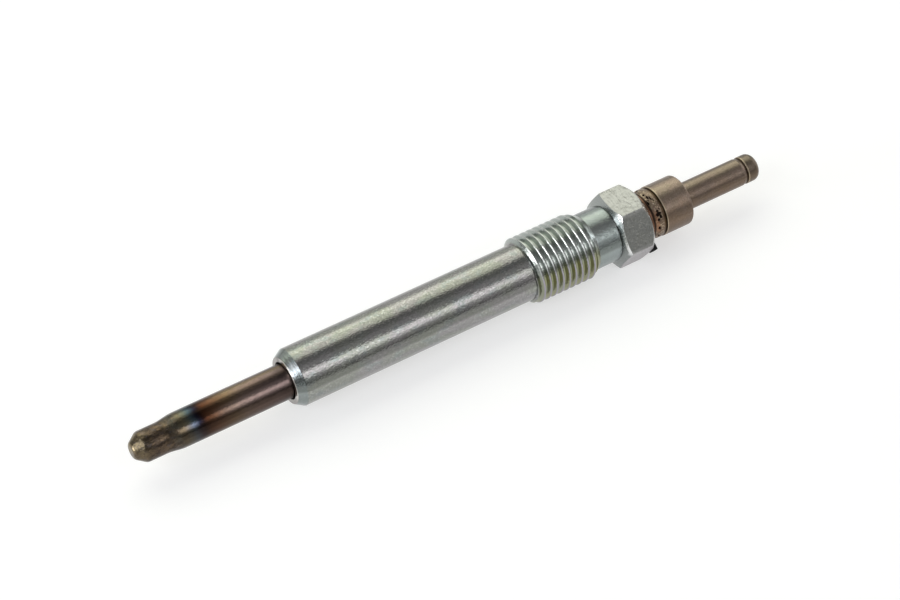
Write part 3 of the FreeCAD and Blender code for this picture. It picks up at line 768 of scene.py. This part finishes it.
def heat_tinted_alloy():
    """Nickel alloy that has glowed: straw, blue, dark and red-brown temper colours in bands
    behind the taper, brown over the rest, and a mottled bronze tip with soot, gold and ash.
    Scuffs lie before the shell. The underside, and the tube where it enters the shell, are darker
    with painted shade. On the near side the tube has painted shade along three strips, painted
    golden and rosy highlights along two, and a painted highlight before the blue band."""
    f = Finish("heat_tint")
    wave = f.noise(3.0, 1.6, rough=0.55, shift=2.0)
    mottle = f.noise(1.3, 0.8, detail=3.0, rough=0.65, shift=7.0)
    rings = f.noise(0.11, 7.0, rough=0.6, shift=13.0)
    grain = f.noise(0.36, 0.30, rough=0.6, shift=17.0)
    gold = f.step(f.noise(0.75, 0.60, rough=0.6, shift=19.0), 0.56, 0.68)
    ash = f.step(f.noise(0.9, 0.7, detail=3.0, rough=0.7, shift=83.0), 0.52, 0.62)
    scuffs = f.step(f.noise(1.8, 0.10, rough=0.7, shift=29.0), 0.62, 0.72)
    tip = 1 - f.step(f.station, *TIP_LOOK_END)
    tube = 1 - tip
    nose = 1 - f.step(f.station, *NOSE_LOOK_END)
    brown = f.step(f.station, *BROWN_LOOK_START)
    # Painted shade: tube and tip are darker towards the underside
    under = f.step(f.toward(82), 0.20, 0.60)
    # Painted highlight along the near side of the tube before the blue band, straw turning violet
    tube_painted_highlight = f.strip(6, 12) * f.band(f.station, *PAINTED_HIGHLIGHT_SPAN, 0.5)
    tube_painted_highlight_colour = f.mix(f.step(f.station, *PAINTED_HIGHLIGHT_TURNS_VIOLET), PAINTED_HIGHLIGHT_STRAW, PAINTED_HIGHLIGHT_VIOLET)
    span = TEMPER_REAR - TEMPER_FRONT
    stops = [((station - TEMPER_FRONT) / span, colour) for station, colour in TEMPER_COLOURS]
    waved = f.station + (wave - 0.5) * 1.1
    temper = f.node("ShaderNodeValToRGB", {"stops": stops}, {0: (waved - TEMPER_FRONT) / span})
    colour = f.coats(
        temper,
        (tip * f.step(mottle, 0.46, 0.60) * 0.60, TIP_SOOT),
        (tip * gold * 0.42, TIP_GOLD),
        (nose * 0.28, NOSE_GOLD),
        (nose * f.step(grain, 0.48, 0.64) * 0.35, NOSE_SPECK),
        (tip * ash * 0.35, TIP_ASH),
        # Painted shade on the tube where it enters the shell
        (f.step(f.station, *SHELL_PAINTED_SHADE_START) * 0.45, TUBE_PAINTED_SHADE_AT_SHELL),
        (f.band(f.station, *SCUFF_SPAN, 1.0) * scuffs * 0.6, TUBE_SCUFF),
        (f.step(grain, 0.45, 0.65) * 0.25, TUBE_GRAIN),
        (under * (0.60 - tip * 0.22), TUBE_UNDERSIDE_PAINTED_SHADE),
        # Painted shade along three strips and painted golden and rosy highlights along two, on
        # the near side
        (f.strip(-29, 7.7) * tube * 0.55, TUBE_PAINTED_SHADE),
        (f.strip(30, 12.5) * tube * 0.38, TUBE_DEEP_PAINTED_SHADE),
        (f.strip(-73, 12) * tube * 0.42, TUBE_PAINTED_SHADE),
        (f.strip(-58, 10) * brown * 0.40, TUBE_PAINTED_GOLDEN_HIGHLIGHT),
        (f.strip(3, 20) * brown * 0.45, TUBE_PAINTED_ROSY_HIGHLIGHT),
        (tube_painted_highlight * 0.26, tube_painted_highlight_colour))
    rough = 0.20 + tip * 0.02 + grain * 0.05 + mottle * tip * 0.08
    normal = f.bumps((rings, 0.004), (grain, 0.025), (mottle * tip, 0.11))
    return f.done(colour, rough, 1.0, normal)


# Brown metal: the skin, then the clamp ring and the staked terminal
SKIN_GOLDEN = (0.300, 0.248, 0.188)
SKIN_GOLDEN_DRIFT = (0.308, 0.240, 0.194)
SKIN_PINKISH = (0.322, 0.235, 0.176)
SKIN_PINKISH_DRIFT = (0.312, 0.238, 0.194)
SKIN_OLIVE = (0.215, 0.178, 0.122)
SKIN_RING = (0.170, 0.128, 0.094)
SKIN_GRAIN = (0.160, 0.122, 0.090)
SKIN_SPARK = (0.520, 0.440, 0.350)
SKIN_UNDERSIDE_PAINTED_SHADE = (0.100, 0.066, 0.042)
SKIN_PAINTED_SHADE = (0.030, 0.022, 0.016)
PIN_BROWN = (0.156, 0.118, 0.094)
KNOB_BROWN = (0.128, 0.110, 0.082)
CLAMP_RED = (0.150, 0.074, 0.044)
CLAMP_RIM_PAINTED_SHADE = (0.022, 0.014, 0.010)
STAKED_BROWN = (0.165, 0.112, 0.076)
UPSET_BRIGHT = (0.600, 0.490, 0.345)
STAKED_RED = (0.330, 0.165, 0.095)
PIT_BLACK = (0.014, 0.009, 0.007)
GROOVE_PAINTED_SHADE = (0.078, 0.048, 0.022)
NOTCH_PAINTED_SHADE = (0.055, 0.034, 0.018)
FRONT_EDGE_PAINTED_SHADE = (0.024, 0.016, 0.012)
WORN_EDGE = (0.560, 0.460, 0.320)


def brown_skin(f):
    """The colour of turned metal with a brown satin skin: golden above and pinkish below, olive
    in patches, sparkling, browner on the pin and the knob, with painted shade on the underside
    and along two strips on the near side. Also gives the noises of its tool rings and its grain."""
    rings = f.noise(0.12, 8.0, rough=0.65, shift=4.0)
    grain = f.noise(0.30, 0.26, rough=0.65, shift=9.0)
    spark = f.noise(0.24, 0.22, detail=1.0, shift=33.0)
    drift = f.step(f.noise(3.2, 2.0, shift=15.0), 0.38, 0.62)
    patch = f.noise(1.2, 0.8, rough=0.6, shift=21.0)
    golden = f.mix(drift, SKIN_GOLDEN, SKIN_GOLDEN_DRIFT)
    pinkish = f.mix(drift, SKIN_PINKISH, SKIN_PINKISH_DRIFT)
    colour = f.coats(
        f.mix(f.step(f.toward(-48), 0.72, 0.98), pinkish, golden),
        (f.step(patch, 0.48, 0.70) * 0.4, SKIN_OLIVE),
        (f.step(rings, 0.52, 0.70) * 0.25, SKIN_RING),
        (f.step(grain, 0.45, 0.62) * 0.40, SKIN_GRAIN),
        (f.step(spark, 0.56, 0.70) * 0.30, SKIN_SPARK),
        (f.step(f.station, COLLAR_REAR - 0.2, COLLAR_REAR + 0.2) * 0.30, PIN_BROWN),
        (f.step(f.station, KNOB_FRONT - 0.05, KNOB_FRONT + 0.05) * 0.48, KNOB_BROWN),
        # Painted shade on the underside and along two strips on the near side
        (f.step(f.toward(85), 0.25, 0.65) * 0.55, SKIN_UNDERSIDE_PAINTED_SHADE),
        (f.strip(28, 14) * 0.24, SKIN_PAINTED_SHADE),
        (f.strip(-70, 13) * 0.36, SKIN_PAINTED_SHADE))
    return colour, rings, grain


def red_brown():
    """The clamp ring's finish: the brown skin under a red-brown one, with painted shade at both
    rims.
    """
    f = Finish("red_brown")
    colour, rings, grain = brown_skin(f)
    # Painted shade at both rims of the clamp ring, in the gaps beside it
    rims_painted_shade = 1 - f.band(f.station, CLAMP_FRONT + 0.08, CLAMP_REAR - 0.38, 0.05)
    colour = f.coats(colour, (0.85, CLAMP_RED), (rims_painted_shade * 0.9, CLAMP_RIM_PAINTED_SHADE))
    return f.done(colour, 0.31 + rings * 0.08, 1.0, f.bumps((rings, 0.006), (grain, 0.030)))


def staked_brown():
    """The terminal's finish: the brown skin, with dark pits and bright upset metal on the staked
    face and a reddish flush below, painted shade in its groove, notch and front edge, and bare
    metal on the worn edges behind the groove and the notch."""
    f = Finish("staked_brown")
    colour, rings, grain = brown_skin(f)
    stake = f.node("ShaderNodeAttribute", {"attribute_name": "stake"}, out="Fac")
    upset = f.noise(0.30, 0.30, detail=3.0, rough=0.7, shift=27.0)
    face = 1 - f.step(f.station, GROOVE_FRONT - 0.25, GROOVE_FRONT)
    flush = f.band(f.station, TERMINAL_FRONT + 0.1, TERMINAL_FRONT + 0.7, 0.1)
    flush = flush * f.step(f.toward(30), 0.80, 0.95)
    groove = 1 - f.step(f.station, GROOVE_REAR - 0.08, GROOVE_REAR - 0.02)
    groove = f.step(f.station, GROOVE_FRONT - 0.30, GROOVE_FRONT) * groove
    notch = f.band(f.station, KNOB_FRONT - 0.42, KNOB_FRONT - 0.04, 0.05)
    front = 1 - f.step(f.station, TERMINAL_FRONT + 0.08, TERMINAL_FRONT + 0.16)
    worn = (f.band(f.station, GROOVE_REAR + 0.01, GROOVE_REAR + 0.15, 0.03)
            + f.band(f.station, KNOB_FRONT + 0.01, KNOB_FRONT + 0.15, 0.03))
    colour = f.coats(
        colour,
        (face * 0.50, STAKED_BROWN),
        (face * f.step(upset, 0.52, 0.62) * 0.60, UPSET_BRIGHT),
        (flush * 0.6, STAKED_RED),
        (face * f.step(stake, 0.035, 0.11) * 0.95, PIT_BLACK),
        # Painted shade in the groove, the notch and at the front edge
        (groove * 0.88, GROOVE_PAINTED_SHADE),
        (notch * 0.85, NOTCH_PAINTED_SHADE),
        (front * 0.90, FRONT_EDGE_PAINTED_SHADE),
        (worn * 0.75, WORN_EDGE))
    normal = f.bumps((rings, 0.006), (grain, 0.030), (upset * face, 0.06))
    return f.done(colour, 0.31 + rings * 0.08, 1.0, normal)


# Inner metal, black parts and powder, each with its second shade
WIRE_GREY, WIRE_DULL = (0.44, 0.42, 0.40), (0.30, 0.27, 0.25)
ROD_GREY, ROD_DULL = (0.52, 0.52, 0.51), (0.42, 0.41, 0.40)
BUSH_BLACK, BUSH_DUST = (0.006, 0.006, 0.006), (0.016, 0.015, 0.014)
SEAL_BLACK, SEAL_DUST = (0.022, 0.021, 0.021), (0.060, 0.058, 0.055)
POWDER_WHITE, POWDER_SPECK = (0.82, 0.80, 0.75), (0.60, 0.58, 0.54)


def plain_metal(name, colour, dull, rough):
    """A drawn or turned steel: fine rings and slow drifts between two greys."""
    f = Finish(name)
    rings = f.noise(0.12, 5.0, rough=0.6, shift=6.0)
    drift = f.noise(2.0, 1.5, shift=12.0)
    shade = f.mix(f.step(drift, 0.35, 0.7), colour, dull)
    return f.done(shade, rough + rings * 0.08, 1.0, f.bumps((rings, 0.006)))


def moulded_black(name, colour, dusty, rough):
    """A black moulded skin: a fine orange-peel grain and a little grey dust."""
    f = Finish(name)
    peel = f.noise(0.25, 0.25, shift=8.0)
    dust = f.step(f.noise(1.4, 1.1, detail=3.0, rough=0.65, shift=14.0), 0.5, 0.8)
    shade = f.mix(dust * 0.5, colour, dusty)
    return f.done(shade, rough + dust * 0.15, 0.0, f.bumps((peel, 0.012)), specular=0.25)


def packed_powder():
    """Packed magnesia: off-white, with a coarse crumb and greyer specks."""
    f = Finish("packed_powder")
    crumb = f.noise(0.12, 0.12, detail=3.0, rough=0.7, shift=10.0)
    specks = f.step(f.noise(0.3, 0.3, rough=0.6, shift=18.0), 0.55, 0.7)
    shade = f.mix(specks * 0.5, POWDER_WHITE, POWDER_SPECK)
    return f.done(shade, 0.85 + crumb * 0.1, 0.0, f.bumps((crumb, 0.03)), specular=0.3)


# Pieces

def make_shell():
    """Shell: bore, mouth, seat and shank, then the thread, the neck with its undercut, the
    hexagon and its rear face."""
    angles = hexagon_angles()
    front = turned([
        (HEX_REAR, SEAL_BORE_RADIUS, 0),
        (SEAL_BORE_FLOOR, SEAL_BORE_RADIUS, 0),
        (SEAL_BORE_FLOOR, ROD_BORE_RADIUS, 0),
        (PRESS_BORE_REAR, ROD_BORE_RADIUS, 0),
        (PRESS_BORE_REAR, PRESS_BORE_RADIUS, 0),
        (FRONT_BORE_DEPTH, PRESS_BORE_RADIUS, 0),
        (FRONT_BORE_DEPTH, FRONT_BORE_RADIUS, 0),
        (0.0, FRONT_BORE_RADIUS, 0.09),
        (0.0, SEAT_FACE_RADIUS, 0.10),
        (SEAT_REAR, BODY_RADIUS, 0.25),
        (THREAD_FRONT, BODY_RADIUS, 0),
    ], angles)
    thread, rows_a_turn = thread_grid(angles)
    neck = turned([
        (THREAD_REAR, BODY_RADIUS, 0),
        (HEX_FOOT - UNDERCUT, BODY_RADIUS, 0.03),
        (HEX_FOOT - UNDERCUT / 2, BODY_RADIUS - UNDERCUT, 0.03),
        (HEX_FOOT, BODY_RADIUS, 0),
    ], angles)
    rear = turned([
        (HEX_REAR, HEX_CORNER_RADIUS - HEX_REAR_CHAMFER - HEX_BEVEL, 0),
        (HEX_REAR, SEAL_BORE_RADIUS, 0),
    ], angles)
    grids = [(front, 0), (thread, rows_a_turn), (neck, 0), (hexagon_grid(angles), 0), (rear, 0)]
    add_piece("dressed_shell", grids, "shell", zinc_plate(), sharp=24.0)


def make_sheath():
    """Heater sheath: nose, tip, taper and tube outside, and its cavity inside."""
    form = turned([
        (TIP_END, 0.0, 0),
        (TIP_END, NOSE_FACE_RADIUS, 0.9),
        (NOSE_REAR, TIP_RADIUS, 1.1),
        (TAPER_FRONT, TIP_RADIUS, 8.0),
        (TAPER_REAR, PROBE_RADIUS, 8.0),
        (SHEATH_REAR, PROBE_RADIUS, 0.1),
        (SHEATH_REAR, CAVITY_RADIUS, 0),
        (TAPER_REAR, CAVITY_RADIUS, 0),
        (TAPER_FRONT, TIP_CAVITY_RADIUS, 0),
        (CAVITY_FRONT, TIP_CAVITY_RADIUS, 0),
        (CAVITY_FRONT, 0.0, 0),
    ], even_angles(192), steps=10)
    add_piece("dressed_sheath", [(form, 0)], "heater_sheath",
              heat_tinted_alloy())


def make_bush():
    """Insulating bush: a spigot and a flange, whose outline stands out in a nib on one side.
    Across the nib the outline is half its width over the sine of the angle off its middle,
    and at its end its reach over the cosine. The nib hangs over a little towards the rear."""
    angles = np.sort(np.concatenate([even_angles(180), NIB_SIDE + np.linspace(-0.21, 0.21, 41)]))
    off = np.mod(angles - NIB_SIDE + math.pi, TURN) - math.pi
    with np.errstate(divide="ignore"):
        side = (NIB_WIDTH / 2) / np.abs(np.sin(off))
    nib = np.minimum(NIB_REACH / np.cos(off), side)
    nib = np.where(np.abs(off) < 0.5, nib, FLANGE_RADIUS)
    outline = np.maximum(FLANGE_RADIUS, nib)
    level = 0 * angles
    rear = FLANGE_REAR + NIB_OVERHANG * np.clip((outline - FLANGE_RADIUS) / 0.5, 0, 1)
    inner = np.minimum(LIP_RADIUS + 0.1, outline - BUSH_EDGE)
    form = place_rows([
        (BUSH_FRONT + level, ROD_CLEARANCE_RADIUS + level),
        (BUSH_FRONT + level, BUSH_RADIUS - BUSH_EDGE + level),
        (BUSH_FRONT + BUSH_EDGE + level, BUSH_RADIUS + level),
        (FLANGE_FRONT + level, BUSH_RADIUS + level),
        (FLANGE_FRONT + level, outline - BUSH_EDGE),
        (FLANGE_FRONT + BUSH_EDGE + level, outline),
        (rear - BUSH_EDGE, outline),
        (rear, outline - BUSH_EDGE),
        (rear, inner),
        (FLANGE_REAR + level, inner),
        (FLANGE_REAR + level, ROD_CLEARANCE_RADIUS + level),
        (BUSH_FRONT + level, ROD_CLEARANCE_RADIUS + level),
    ], angles)
    add_piece("dressed_bush", [(form, 0)], "insulating_bush",
              moulded_black("black_plastic", BUSH_BLACK, BUSH_DUST, 0.70))


def make_clamp_ring():
    """Clamp ring: a turned washer with broken edges."""
    form = turned([
        (CLAMP_FRONT, ROD_CLEARANCE_RADIUS, 0),
        (CLAMP_FRONT, CLAMP_RADIUS, 0.10),
        (CLAMP_REAR, CLAMP_RADIUS, 0.16),
        (CLAMP_REAR, ROD_CLEARANCE_RADIUS, 0),
        (CLAMP_FRONT, ROD_CLEARANCE_RADIUS, 0),
    ], even_angles(192))
    add_piece("dressed_clamp_ring", [(form, 0)], "clamp_ring", red_brown())


def make_terminal():
    """Terminal: socket, staked front, grooved collar, pin, notch and domed knob."""
    angles = even_angles(256)
    socket = turned([
        (TERMINAL_FRONT + SOCKET_DEPTH, 0.0, 0),
        (TERMINAL_FRONT + SOCKET_DEPTH, ROD_CLEARANCE_RADIUS, 0),
        (TERMINAL_FRONT, ROD_CLEARANCE_RADIUS, 0),
        (TERMINAL_FRONT, STAKED_RADIUS - 0.5, 0),
    ], angles)
    face, depth = staked_face(angles)
    rear = turned([
        (GROOVE_FRONT, LIP_RADIUS, 0),
        (GROOVE_FRONT + 0.06, LIP_RADIUS, 0.03),
        (GROOVE_FRONT + 0.06, GROOVE_RADIUS, 0.03),
        (GROOVE_REAR - 0.10, GROOVE_RADIUS, 0.03),
        (GROOVE_REAR, COLLAR_RADIUS, 0.10),
        (COLLAR_REAR, COLLAR_RADIUS, 0.35),
        (COLLAR_REAR, PIN_RADIUS, 0.12),
        (NOTCH_FRONT, PIN_RADIUS, 0.06),
        (KNOB_FRONT - 0.1, NOTCH_RADIUS, 0.03),
        (KNOB_FRONT, PIN_RADIUS, 0.12),
        (TERMINAL_END, PIN_RADIUS, 1.25),
        (TERMINAL_END, 0.0, 0),
    ], angles, steps=8)
    grids = [(socket, 0), (face, 0), (rear, 0)]
    unmarked = [np.zeros(grid[..., 0].size) for grid in (socket, rear)]
    marks = np.concatenate([unmarked[0], depth.ravel(), unmarked[1]])
    add_piece("dressed_terminal", grids, "terminal", staked_brown(),
              sharp=38.0, marks=marks)


def finish_inner_nodes():
    """Materials for the solids inside the plug, whose shapes stay as the CAD has them."""
    wire = plain_metal("coil_wire", WIRE_GREY, WIRE_DULL, 0.34)
    rod_steel = plain_metal("rod_steel", ROD_GREY, ROD_DULL, 0.30)
    rubber = moulded_black("seal_rubber", SEAL_BLACK, SEAL_DUST, 0.60)
    for name, finish in (
        ("heating_coil", wire),
        ("regulating_coil", wire),
        ("insulating_powder", packed_powder()),
        ("connecting_rod", rod_steel),
        ("sheath_seal", rubber),
        ("o_ring", rubber),
    ):
        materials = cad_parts[name].data.materials
        materials.clear()
        materials.append(finish)


make_shell()
make_sheath()
make_bush()
make_clamp_ring()
make_terminal()
finish_inner_nodes()


# Stage, in metres. The camera was fitted to the plug's outline and turned edges.

FLOOR_HALF = 3.0
FLOOR_HEIGHT = -0.00001
FLOOR_LIFT = 0.56
PAPER_GREY, PAPER_FIBRE = (0.52, 0.52, 0.52), (0.54, 0.54, 0.54)
LONG_BOX_ASIDE = 0.16
SHORT_BOX_ASIDE = 0.21
ROOM_LIGHT = 0.17
CAMERA_LENS = 103.54
CAMERA_PLACE = (-0.1574, -0.2578, 0.3058)
CAMERA_VIEW = (0.3673, 0.6077, -0.7041)
CAMERA_RIGHT = (0.8450, -0.5345, -0.0206)


def pale_floor():
    """The floor's paper, lifted to white where a ray from the camera, a glossy or a
    transmission ray meets it. The light that falls on it still draws the shadow."""
    f = Finish("pale_floor")
    fibre = f.noise(0.8, 0.8)
    paper = f.mix(fibre, PAPER_GREY, PAPER_FIBRE)
    seen = f.node("ShaderNodeLightPath", out="Is Camera Ray")
    seen = seen + seen.output("Is Glossy Ray") + seen.output("Is Transmission Ray")
    lift = f.mix(seen, (0.0, 0.0, 0.0), (FLOOR_LIFT, FLOOR_LIFT, FLOOR_LIFT))
    return f.close(f.node("ShaderNodeBsdfPrincipled", None, {
        "Base Color": paper, "Roughness": 1.0, "Specular IOR Level": 0.0,
        "Emission Color": lift, "Emission Strength": 1.0}))


def make_floor():
    """A level sheet under the plug, far wider than the view."""
    corners = [(x * FLOOR_HALF, y * FLOOR_HALF, FLOOR_HEIGHT)
               for x, y in ((-1, -1), (1, -1), (1, 1), (-1, 1))]
    mesh = bpy.data.meshes.new("floor")
    mesh.from_pydata(corners, [], [(0, 1, 2, 3)])
    floor = bpy.data.objects.new("floor", mesh)
    bpy.context.scene.collection.objects.link(floor)
    mesh.materials.append(pale_floor())


def unit(vector):
    """The vector at length 1."""
    vector = np.array(vector, float)
    return vector / np.linalg.norm(vector)


def stand(name, data, right, back, location):
    """Stands a lamp or the camera in the scene: its own +X along right, +Z along back and +Y
    along back cross right."""
    axes = np.eye(4)
    axes[:3, 0], axes[:3, 1], axes[:3, 2] = right, np.cross(back, right), back
    axes[:3, 3] = location
    holder = bpy.data.objects.new(name, data)
    holder.matrix_world = Matrix(axes.tolist())
    bpy.context.scene.collection.objects.link(holder)
    return holder


def soft_box(name, toward, distance, width, height, radiance, aside=0.0, colour=(1, 1, 1)):
    """A rectangular lamp that looks back at the plug's axis from that direction and distance,
    moved aside along +X. Its width lies level, and its power is pi times its area times the
    radiance that a mirror would show."""
    lamp = bpy.data.lights.new(name, "AREA")
    lamp.shape = "RECTANGLE"
    lamp.size = width
    lamp.size_y = height
    lamp.energy = math.pi * width * height * radiance
    lamp.color = colour
    back = unit(toward)
    location = back * distance + (aside, 0, AXIS_HEIGHT * MM)
    holder = stand(name, lamp, unit(np.cross((0, 0, 1), back)), back, location)
    holder.visible_camera = False


def over_axis(degrees):
    """A direction square to the axis, that many degrees from straight up towards -Y."""
    angle = math.radians(degrees)
    return (0.0, -math.sin(angle), math.cos(angle))


def make_lights():
    """Boxes in a dim room: a large warm one behind the plug, brighter in its middle, with a
    lower one under it, a short one on the near side, brighter in its middle, with a weak skirt
    under it, a weak one on top, and smaller ones off the plug's ends and before its seat."""
    soft_box("back_box", over_axis(-39.4), 0.70, 1.1, 0.66, 1.17, LONG_BOX_ASIDE,
             colour=(1.0, 1.015, 0.885))
    soft_box("back_box_middle", over_axis(-50.2), 0.69, 1.1, 0.24, 0.68, LONG_BOX_ASIDE,
             colour=(1.0, 1.03, 0.90))
    soft_box("camera_box", over_axis(52.0), 0.70, 0.34, 0.298, 1.18, SHORT_BOX_ASIDE)
    soft_box("camera_box_middle", over_axis(50.0), 0.69, 0.34, 0.190, 0.82, SHORT_BOX_ASIDE)
    soft_box("camera_box_skirt", over_axis(71.0), 0.71, 0.70, 0.26, 0.24, LONG_BOX_ASIDE)
    soft_box("top_fill", over_axis(26.0), 0.72, 1.0, 0.30, 0.16, LONG_BOX_ASIDE)
    soft_box("back_box_low", over_axis(-77.0), 0.72, 1.1, 0.24, 0.60, LONG_BOX_ASIDE,
             colour=(1.0, 1.02, 0.95))
    soft_box("tip_end_box", (-0.90, -0.05, 0.50), 0.75, 0.70, 0.50, 2.0,
             colour=(0.97, 1.0, 1.04))
    soft_box("tip_end_low_box", (-0.975, 0.15, 0.12), 0.75, 0.26, 0.18, 11.0)
    soft_box("seat_box", (-0.65, -0.29, 0.70), 0.75, 0.24, 0.20, 2.6, colour=(0.94, 1.0, 1.08))
    soft_box("terminal_end_box", (0.92, 0.0, 0.42), 0.75, 0.70, 0.50, 0.9)
    world = bpy.data.worlds.new("room")
    world.use_nodes = True
    background = world.node_tree.nodes["Background"].inputs
    background["Color"].default_value = (1.0, 1.0, 1.0, 1.0)
    background["Strength"].default_value = ROOM_LIGHT
    bpy.context.scene.world = world


def make_camera():
    """The photograph's camera. Its right hand is squared up to the direction of its view."""
    camera = bpy.data.cameras.new("camera")
    camera.lens = CAMERA_LENS
    camera.sensor_width = 36.0
    camera.clip_start = 0.01
    camera.clip_end = 20.0
    view = unit(CAMERA_VIEW)
    right = np.array(CAMERA_RIGHT)
    right = unit(right - view * (right @ view))
    bpy.context.scene.camera = stand("camera", camera, right, -view, CAMERA_PLACE)


make_floor()
make_lights()
make_camera()
bpy.context.scene.view_settings.view_transform = "Standard"
